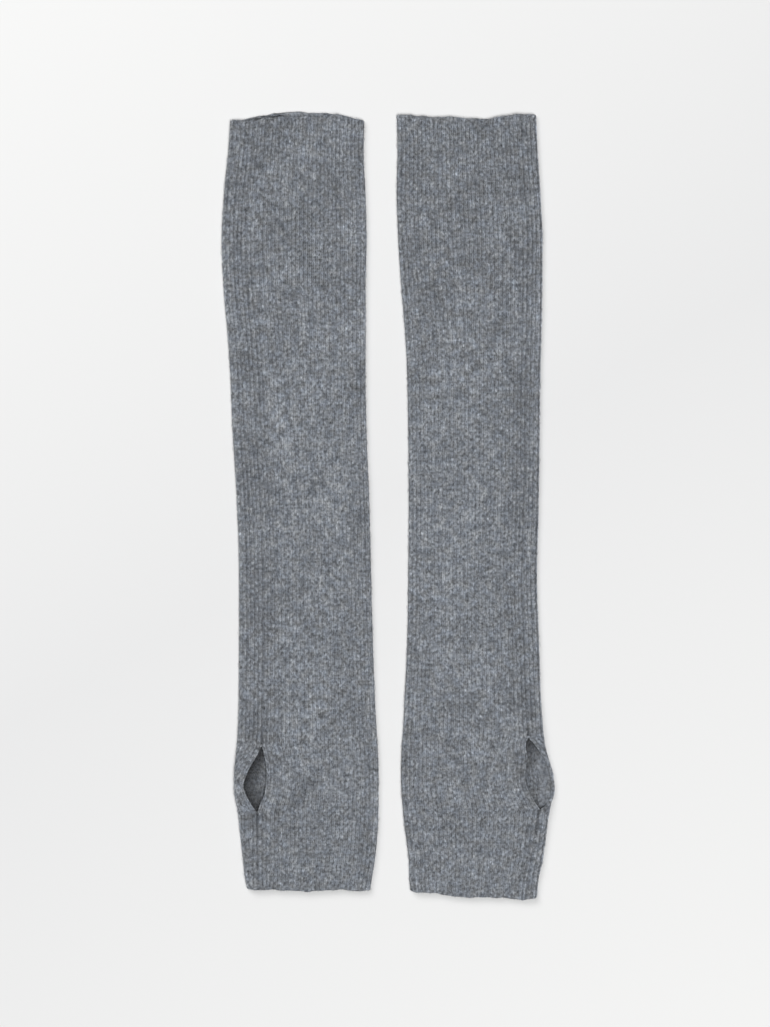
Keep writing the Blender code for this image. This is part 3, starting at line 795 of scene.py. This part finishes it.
def ground_cloth(tube, material):
    """The ribbed ground cloth: an outer and an inner layer joined at the ends and the slit's lips."""
    warmer = tube.warmer
    outer_wales, inner_index = [], []
    for rib in range(tube.last_wale):
        under = warmer.thumb_ribs <= rib < tube.first_far
        for k, step in enumerate(UNDER_STEPS if under else SHOWN_STEPS):
            on_fold = rib < warmer.thumb_ribs or tube.first_far <= rib < tube.first_front
            if k == 0 or (on_fold and step == 0.5):
                inner_index.append(len(outer_wales))
            outer_wales.append(rib + step)
    inner_index.append(len(outer_wales))
    outer_wales.append(float(tube.last_wale))
    outer_wales = np.array(outer_wales)
    inner_wales = outer_wales[inner_index]
    stations = ring_stations(warmer)
    outer_count, inner_count = len(outer_wales), len(inner_wales)
    ring = outer_count + inner_count

    wale = np.tile(np.concatenate([outer_wales, inner_wales]), len(stations))
    along = np.repeat(stations, ring)
    is_outer = np.tile(np.arange(ring) < outer_count, len(stations))
    normal_up = tube.look_up(wale, along)[:, 4]
    out = np.where(is_outer, ground_height(tube, wale, along, normal_up), -WALL / 2)
    points = tube.place(wale, along, out)
    crest = np.sin(math.pi * (wale % 1.0))
    drawn = drawn_in(tube, wale, along)
    # Painted shade: the outer layer is darker between the ribs, most where they are drawn together; then painted
    # light on ridges, folds and sides, painted shade in troughs, and painted shade along the seam
    outer_painted_shading = 0.96 - (1 - crest) * (0.03 + 0.24 * drawn)
    outer_painted_shading *= painted_relief_light(tube, wale, along)
    at_seam = np.minimum(wale, tube.last_wale - wale) < 0.01
    outer_painted_shading = np.where(at_seam, outer_painted_shading * beside_slit(tube, along, SEAM_PAINTED_SHADES), outer_painted_shading)
    tone = np.where(is_outer, outer_painted_shading, painted_inner_shade(tube, wale, along))

    mesh = bmesh.new()
    verts = [mesh.verts.new(point) for point in points]
    rim = {}
    for end, station in ((0, -RIM_BULGE), (len(stations) - 1, warmer.length + RIM_BULGE)):
        row = tube.place(outer_wales, np.full(outer_count, station), np.zeros(outer_count))
        rim[end] = [mesh.verts.new(point) for point in row]
    first_open = int(np.argmin(abs(stations - warmer.slit[0].from_hand)))
    last_open = int(np.argmin(abs(stations - warmer.slit[-1].from_hand)))

    def quads(near, ahead, count):
        for i in range(count - 1):
            mesh.faces.new((near[i], near[i + 1], ahead[i + 1], ahead[i]))

    for k in range(len(stations) - 1):
        a, b = verts[k * ring:(k + 1) * ring], verts[(k + 1) * ring:(k + 2) * ring]
        quads(a[:outer_count], b[:outer_count], outer_count)
        quads(a[outer_count:], b[outer_count:], inner_count)
        if first_open <= k < last_open:
            for lip in (0, -1):
                a_lip = (a[:outer_count][lip], a[outer_count:][lip])
                b_lip = (b[:outer_count][lip], b[outer_count:][lip])
                mesh.faces.new((a_lip[0], a_lip[1], b_lip[1], b_lip[0]))
        else:
            mesh.faces.new((a[outer_count - 1], a[0], b[0], b[outer_count - 1]))
            mesh.faces.new((a[-1], a[outer_count], b[outer_count], b[-1]))
    for k in (first_open, last_open):
        a = verts[k * ring:(k + 1) * ring]
        mesh.faces.new((a[0], a[outer_count - 1], a[-1], a[outer_count]))
    for end, edge in rim.items():
        a = verts[end * ring:(end + 1) * ring]
        quads(a[:outer_count], edge, outer_count)
        mesh.faces.new((a[outer_count - 1], a[0], edge[0], edge[-1]))
        mesh.faces.new((a[outer_count], a[-1], edge[-1], edge[0]))
        for j in range(inner_count - 1):
            i, last = inner_index[j], inner_index[j + 1]
            while i < last:
                mesh.faces.new((edge[i], edge[i + 1], a[outer_count + j]))
                i += 1
            mesh.faces.new((edge[last], a[outer_count + j + 1], a[outer_count + j]))
    bmesh.ops.triangulate(mesh, faces=mesh.faces)
    bmesh.ops.recalc_face_normals(mesh, faces=mesh.faces)
    mesh.verts.index_update()
    faces = np.array([[v.index for v in face.verts] for face in mesh.faces])
    points = np.array([v.co for v in mesh.verts])
    mesh.free()

    rim_wales = np.tile(outer_wales, 2)
    rim_along = np.repeat([-RIM_BULGE, warmer.length + RIM_BULGE], outer_count)
    tone = np.concatenate([tone, np.full(2 * outer_count, 0.72)])
    panel = tube.bake_place(np.concatenate([wale, rim_wales]), np.concatenate([along, rim_along]))
    return knit_mesh(warmer.name + "_ground_cloth", points, faces, tone, panel, material)


# Mid-grey melange wool: light and dark fibres carded together before spinning,
# so that the yarn has no one colour but fine flecks and faint clouds of tone
WOOL_COOL = "#828891"
WOOL_WARM = "#86898D"
HUE_PATCH = 5.0
FLECK = 1.7
CLUMP = 5.0
CLOUD = 16.0
HAIR = 0.32
FLECK_STRETCH = 0.95


def melange_wool(name, depth):
    """Carded wool yarn: matt and slightly hairy, with soft flecks. depth is how deep its hair looks, in mm."""
    material, tree, shader = new_material(name)
    plain = add_node(tree, "ShaderNodeTexCoord").outputs["Object"]
    place = add_node(tree, "ShaderNodeMapping", Vector=plain, Scale=(1, FLECK_STRETCH, 1)).outputs["Vector"]
    # The tone attribute holds the yarn's random flecks together with painted light and shade: lighter on ridges,
    # folds and sides, darker in troughs, between the ribs, along the seam and inside the tube
    tone = add_node(tree, "ShaderNodeAttribute", {"attribute_name": "tone"}).outputs["Fac"]
    for size, detail, low, high in ((FLECK, 2.0, 0.47, 1.53), (CLUMP, 1.0, 0.79, 1.21), (CLOUD, 1.0, 0.89, 1.11)):
        noise = add_node(
            tree, "ShaderNodeTexNoise", Vector=place, Scale=1 / (size * MM), Detail=detail, Roughness=0.6
        )
        spread = add_node(
            tree, "ShaderNodeMapRange", Value=noise.outputs["Fac"],
            From_Min=0.3, From_Max=0.7, To_Min=low, To_Max=high,
        )
        tone = add_node(
            tree, "ShaderNodeMath", {"operation": "MULTIPLY"}, _0=tone, _1=spread.outputs["Result"]
        ).outputs["Value"]
    patches = add_node(tree, "ShaderNodeTexNoise", Vector=plain, Scale=1 / (HUE_PATCH * MM), Detail=1.0)
    warmth = add_node(tree, "ShaderNodeMapRange", Value=patches.outputs["Fac"], From_Min=0.3, From_Max=0.7)
    hue = add_node(
        tree, "ShaderNodeMix", {"data_type": "RGBA"},
        _0=warmth.outputs["Result"], _6=linear(WOOL_COOL), _7=linear(WOOL_WARM),
    )
    colour = add_node(
        tree, "ShaderNodeVectorMath", {"operation": "SCALE"}, _0=hue.outputs[2], Scale=tone
    )
    tree.links.new(colour.outputs["Vector"], shader.inputs["Base Color"])
    hair = add_node(
        tree, "ShaderNodeTexNoise", Vector=place, Scale=1 / (HAIR * MM), Detail=4.0, Roughness=0.7
    )
    bump = add_node(
        tree, "ShaderNodeBump", Height=hair.outputs["Fac"], Distance=depth * MM, Strength=0.6
    )
    tree.links.new(bump.outputs["Normal"], shader.inputs["Normal"])
    shader.inputs["Roughness"].default_value = 0.95
    shader.inputs["Specular IOR Level"].default_value = 0.2
    shader.inputs["Sheen Weight"].default_value = 0.18
    shader.inputs["Sheen Roughness"].default_value = 0.6
    return material


GROUND_WOOL = melange_wool("wool_rib_ground", 0.25)

tubes = {}
for warmer in WARMERS:
    tube = Tube(warmer)
    cloth = ground_cloth(tube, GROUND_WOOL)
    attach(cloth, "root")
    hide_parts(warmer.name + "_arm_warmer")
    tubes[warmer.name] = tube


# The stitches of the ribs
# Each rib is one column of knit stitches. A stitch shows as two slanting legs
# of yarn, a V, and the next V comes out of it one course further up.
COURSE = 1.75
LEG_HALF_WIDTH = 0.64
LEG_DRAWN_IN = 0.12
LEG_HALF_HEIGHT = 0.28
LEG_BASE = 1.04
LEG_START = (0.07, -0.52)
LEG_END = (0.33, 0.78)
PRESSED_FLAT = -0.8
STITCH_JITTER = 0.12
STITCH_TONE = 0.17
LEG_TONE = 0.98
DRAWN_SHADE = 0.06
WOOL_SEED = 7


def small_form(rings, sides):
    """Points and triangles of one strand of yarn: x across it, y out of the cloth, z along it from -1 to 1."""
    bpy.ops.object.select_all(action="DESELECT")
    bpy.ops.mesh.primitive_uv_sphere_add(segments=sides, ring_count=rings + 1, radius=1)
    form = bpy.context.object
    bpy.ops.object.mode_set(mode="EDIT")
    bpy.ops.mesh.quads_convert_to_tris()
    bpy.ops.object.mode_set(mode="OBJECT")
    points = np.array([v.co for v in form.data.vertices])
    faces = np.array([face.vertices for face in form.data.polygons])
    turn = math.pi / 2
    round_x = points[:, 0] * math.cos(turn) - points[:, 1] * math.sin(turn)
    round_y = points[:, 0] * math.sin(turn) + points[:, 1] * math.cos(turn)
    bpy.data.objects.remove(form, do_unlink=True)
    return np.stack([round_x, round_y, points[:, 2]], 1), faces


def lay_strands(tube, form, start, end, half_width, half_height, base, arch=0.0, inside=False):
    """Lays one strand of yarn on the cloth from each start to each end, given as rows of (wale, along).

    base is the strand's height above the wall's middle, and arch how much higher its middle is.
    """
    shape, faces = form
    count = len(start)
    x, y, z = shape.T
    t = (z + 1) / 2
    run = (end - start) * (RIB_PITCH, 1.0)
    run /= np.hypot(run[:, 0], run[:, 1])[:, None]
    way = tube.warmer.side * (-1 if inside else 1)
    width = np.broadcast_to(half_width, count)[:, None]
    wale = start[:, :1] + (end - start)[:, :1] * t - way * run[:, 1:] * x * width / RIB_PITCH
    along = start[:, 1:] + (end - start)[:, 1:] * t + way * run[:, :1] * x * width
    out = (
        np.broadcast_to(base, count)[:, None]
        + np.broadcast_to(arch, count)[:, None] * np.sin(math.pi * t)
        + y * np.broadcast_to(half_height, count)[:, None]
    )
    out = -out if inside else out
    points = tube.place(wale.ravel(), along.ravel(), out.ravel())
    all_faces = (faces[None] + np.arange(count)[:, None, None] * len(shape)).reshape(-1, 3)
    return points, all_faces, tube.bake_place(wale.ravel(), along.ravel())


def melange(random, wale, along, spread):
    """Tone of each strand: the yarn's own flecks, and a few much lighter or darker ones."""
    tone = 1 + spread * random.standard_normal(len(wale))
    rare = random.random(len(wale))
    tone = np.where(rare < 0.06, tone * 1.35, tone)
    tone = np.where(rare > 0.95, tone * 0.7, tone)
    return np.clip(tone, 0.4, 1.9)


def rib_legs(tube, form, first, last, courses, random, inside=False, base=LEG_BASE):
    """Both legs of every stitch on ribs first to last, over a range of courses."""
    rib, course = (a.ravel() for a in np.meshgrid(np.arange(first, last), courses, indexing="ij"))
    rib, course = np.repeat(rib, 2), np.repeat(course, 2)
    way = np.tile([-1.0, 1.0], len(rib) // 2)
    middle = rib + 0.5
    keep = tube.look_up(middle, (course + 0.5) * COURSE)[:, 4] > PRESSED_FLAT
    keep |= inside
    rib, course, way = rib[keep], course[keep], way[keep]
    middle = rib + 0.5 + random.normal(0, STITCH_JITTER / 3, len(rib))
    at = (course + 0.5 + random.normal(0, STITCH_JITTER, len(rib))) * COURSE
    start = np.stack([middle + way * LEG_START[0], at + LEG_START[1] * COURSE], 1)
    end = np.stack([middle + way * LEG_END[0], at + LEG_END[1] * COURSE], 1)
    start[:, 1] = np.clip(start[:, 1], 0, tube.warmer.length)
    end[:, 1] = np.clip(end[:, 1], 0.3, tube.warmer.length + 0.1)
    drawn = drawn_in(tube, middle + 0.3 * way, at)
    wide = LEG_HALF_WIDTH - LEG_DRAWN_IN * drawn
    wide *= random.uniform(0.85, 1.15, len(rib))
    high = LEG_HALF_HEIGHT * random.uniform(0.85, 1.15, len(rib))
    points, faces, panel = lay_strands(tube, form, start, end, wide, high, base, 0.12, inside)
    # Painted shade: legs darker where the ribs are drawn together, and on the outside painted light on ridges,
    # folds and sides and painted shade in troughs
    tone = melange(random, middle, at, STITCH_TONE) * (LEG_TONE - DRAWN_SHADE * drawn)
    if not inside:
        tone *= painted_relief_light(tube, middle, at)
    return points, faces, panel, np.repeat(tone, len(form[0]))


def add_strands(name, warmer, batches, material):
    """Joins batches of strands into one object that lies on the warmer's cloth."""
    points, faces, panel, tone = [], [], [], []
    done = 0
    for batch in batches:
        points.append(batch[0])
        faces.append(batch[1] + done)
        panel.append(batch[2])
        tone.append(batch[3])
        done += len(batch[0])
    piece = knit_mesh(
        name, np.concatenate(points), np.concatenate(faces), np.concatenate(tone),
        np.concatenate(panel), material,
    )
    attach(piece, "root")
    on_sheet[warmer.name].append(piece)


YARN_WOOL = melange_wool("wool_rib_yarn", 0.12)
leg_form = small_form(2, 3)
on_sheet = {warmer.name: [] for warmer in WARMERS}
for number, warmer in enumerate(WARMERS):
    tube = tubes[warmer.name]
    random = np.random.default_rng(WOOL_SEED + number)
    courses = np.arange(int(warmer.length / COURSE))
    front = rib_legs(tube, leg_form, tube.first_front, tube.last_wale, courses, random)
    thumb = rib_legs(tube, leg_form, 0, warmer.thumb_ribs, courses, random)
    far = rib_legs(tube, leg_form, tube.first_far, tube.first_front, courses, random)
    add_strands(warmer.name + "_front_stitches", warmer, [front], YARN_WOOL)
    add_strands(warmer.name + "_side_stitches", warmer, [thumb, far], YARN_WOOL)


# The inside where it shows
# Rib knit has the same stitches on its inside. They show through the thumb
# slit, and at the arm end where the back layer reaches past the front.
INSIDE_BASE = 0.86
SLIT_MARGIN = 7.0
END_COURSES = 4

for number, warmer in enumerate(WARMERS):
    tube = tubes[warmer.name]
    random = np.random.default_rng(WOOL_SEED + 10 + number)
    first = int((warmer.slit[0].from_hand - SLIT_MARGIN) / COURSE)
    last = int((warmer.slit[-1].from_hand + SLIT_MARGIN) / COURSE)
    in_slit = rib_legs(tube, leg_form, 4, 19, np.arange(first, last), random, True, INSIDE_BASE)
    last_course = int(warmer.length / COURSE)
    end_courses = np.arange(last_course - END_COURSES, last_course)
    at_arm = rib_legs(tube, leg_form, 4, tube.first_far, end_courses, random, True, INSIDE_BASE)
    batches = []
    for points, faces, panel, tone in (in_slit, at_arm):
        wale, along = ((panel - 0.01) / 0.98).T * [[tube.last_wale], [warmer.length]]
        # The inside's painted shade goes into these stitches' tone
        batches.append((points, faces, panel, tone * painted_inner_shade(tube, wale, along)))
    add_strands(warmer.name + "_inside_stitches", warmer, batches, YARN_WOOL)


# The edges of the knit
# Cast-on and cast-off loops make a thin rope along each end, a chain of edge
# stitches lines each lip of the slit, and a ladder of yarn sews up the seam.
LOOP_STEP = 0.5
LOOP_HALF_WIDTH = 0.55
LOOP_HALF_HEIGHT = 0.46
LOOP_HEIGHTS = (0.9, -0.8)
LOOP_OVER = -0.75
CHAIN_HALF_WIDTH = 0.62
CHAIN_HEIGHTS = (0.5, -0.3)
SEAM_HALF_WIDTH = 0.42
SEAM_BASE = 0.45
SEAM_REACH = (-0.14, 0.46)
EDGE_TONE = 0.86

loop_form = small_form(3, 6)


def with_tone(strands, form, random, wale, along, tone):
    """Strands and their tone, which varies from one to the next as the rib stitches' does."""
    return strands + (np.repeat(tone * melange(random, wale, along, STITCH_TONE), len(form[0])),)


def end_loops(tube, along, random):
    """The rope of loops along one end, once for each side of the cloth."""
    batches = []
    for height in LOOP_HEIGHTS:
        wale = np.arange(0, tube.last_wale, LOOP_STEP) + random.normal(0, 0.04, tube.last_wale * 2)
        at = along + random.normal(0, 0.2, len(wale))
        start = np.stack([wale - 0.06, at], 1)
        end = np.stack([wale + LOOP_STEP + 0.1, at + random.normal(0, 0.1, len(wale))], 1)
        laid = lay_strands(tube, loop_form, start, end, LOOP_HALF_WIDTH, LOOP_HALF_HEIGHT, height)
        batches.append(with_tone(laid, loop_form, random, wale, at, EDGE_TONE))
    return batches


def slit_chain(tube, random):
    """The chain of edge stitches along both lips of the slit."""
    slit = tube.warmer.slit
    at = np.arange(slit[0].from_hand, slit[-1].from_hand, COURSE)
    batches = []
    for lip, way in ((0, -1), (tube.last_wale, 1)):
        for height in CHAIN_HEIGHTS:
            wale = lip + way * 0.04 + random.normal(0, 0.03, len(at))
            start = np.stack([wale, at - 0.2], 1)
            end = np.stack([wale + random.normal(0, 0.04, len(at)), at + COURSE + 0.2], 1)
            laid = lay_strands(tube, loop_form, start, end, CHAIN_HALF_WIDTH, LOOP_HALF_HEIGHT, height)
            batches.append(with_tone(laid, loop_form, random, wale, at, 1.0))
    return batches


def seam_ladder(tube, random):
    """Yarn that crosses the groove between strip and front once a course, where the seam is sewn."""
    slit = tube.warmer.slit
    at = (np.arange(int(tube.warmer.length / COURSE)) + 0.5) * COURSE
    at = at[(at < slit[0].from_hand) | (at > slit[-1].from_hand)]
    start = np.stack([tube.last_wale + SEAM_REACH[0] + 0 * at, at - 0.3], 1)
    end = np.stack([tube.last_wale + SEAM_REACH[1] + 0 * at, at + random.normal(0.3, 0.15, len(at))], 1)
    laid = lay_strands(tube, leg_form, start, end, SEAM_HALF_WIDTH, 0.3, SEAM_BASE)
    # The seam's yarn gets the same painted shade, darkest near the slit
    return [with_tone(laid, leg_form, random, start[:, 0], at, beside_slit(tube, at, SEAM_PAINTED_SHADES))]


for number, warmer in enumerate(WARMERS):
    tube = tubes[warmer.name]
    random = np.random.default_rng(WOOL_SEED + 20 + number)
    ends = end_loops(tube, -LOOP_OVER, random) + end_loops(tube, warmer.length + LOOP_OVER, random)
    add_strands(warmer.name + "_end_loops", warmer, ends, YARN_WOOL)
    add_strands(warmer.name + "_slit_edges", warmer, slit_chain(tube, random), YARN_WOOL)
    add_strands(warmer.name + "_seam", warmer, seam_ladder(tube, random), YARN_WOOL)


# Loose hair
# Short ends of wool that stand out of the yarn, lie over the ribs in all
# directions and soften every edge.
HAIRS = 4200
FOLD_HAIRS = 1600
HAIR_HALF_WIDTH = 0.065
HAIR_LENGTH = (1.2, 4.0)
HAIR_BASE = 1.22
HAIR_ARCH = (0.05, 0.45)
FOLD_HAIR_ARCH = (0.3, 1.3)
HAIR_TONE = (0.6, 1.6)
EDGE_HAIRS = 700
EDGE_HAIR_REACH = 1.1

hair_form = small_form(2, 3)


def loose_hair(tube, random):
    """Hair all over the shown ribs, which stands out furthest on the two folds."""
    thumb_ribs = tube.warmer.thumb_ribs
    shown = np.concatenate([
        random.uniform(tube.first_front, tube.last_wale, HAIRS),
        random.uniform(0, thumb_ribs - 1, FOLD_HAIRS // 2),
        random.uniform(tube.first_far, tube.first_front, FOLD_HAIRS // 2),
    ])
    on_fold = np.arange(len(shown)) >= HAIRS
    low = np.where(on_fold, FOLD_HAIR_ARCH[0], HAIR_ARCH[0])
    high = np.where(on_fold, FOLD_HAIR_ARCH[1], HAIR_ARCH[1])
    at = random.uniform(1.0, tube.warmer.length - 1.0, len(shown))
    turn = random.uniform(0, 2 * math.pi, len(shown))
    length = random.uniform(*HAIR_LENGTH, len(shown))
    start = np.stack([shown, at], 1)
    reach = np.stack([np.cos(turn) / RIB_PITCH, np.sin(turn)], 1) * length[:, None]
    laid = lay_strands(
        tube, hair_form, start, start + reach, HAIR_HALF_WIDTH, HAIR_HALF_WIDTH, HAIR_BASE,
        random.uniform(low, high),
    )
    return laid + (np.repeat(random.uniform(*HAIR_TONE, len(shown)), len(hair_form[0])),)


def edge_hair(tube, random):
    """Hair that reaches past the two ends."""
    wale = random.uniform(0, tube.last_wale, EDGE_HAIRS)
    hand = random.random(EDGE_HAIRS) < 0.5
    reach = random.uniform(0.2, EDGE_HAIR_REACH, EDGE_HAIRS)
    start = np.stack([wale, np.where(hand, 1.0, tube.warmer.length - 1.0)], 1)
    tip = np.where(hand, -reach, tube.warmer.length + reach)
    end = np.stack([wale + random.normal(0, 0.4, EDGE_HAIRS), tip], 1)
    laid = lay_strands(
        tube, hair_form, start, end, HAIR_HALF_WIDTH, HAIR_HALF_WIDTH,
        random.uniform(-0.6, 0.9, EDGE_HAIRS), random.uniform(-0.2, 0.5, EDGE_HAIRS),
    )
    return laid + (np.repeat(random.uniform(*HAIR_TONE, EDGE_HAIRS), len(hair_form[0])),)


for number, warmer in enumerate(WARMERS):
    tube = tubes[warmer.name]
    random = np.random.default_rng(WOOL_SEED + 30 + number)
    hair = [loose_hair(tube, random), edge_hair(tube, random)]
    add_strands(warmer.name + "_loose_hair", warmer, hair, YARN_WOOL)
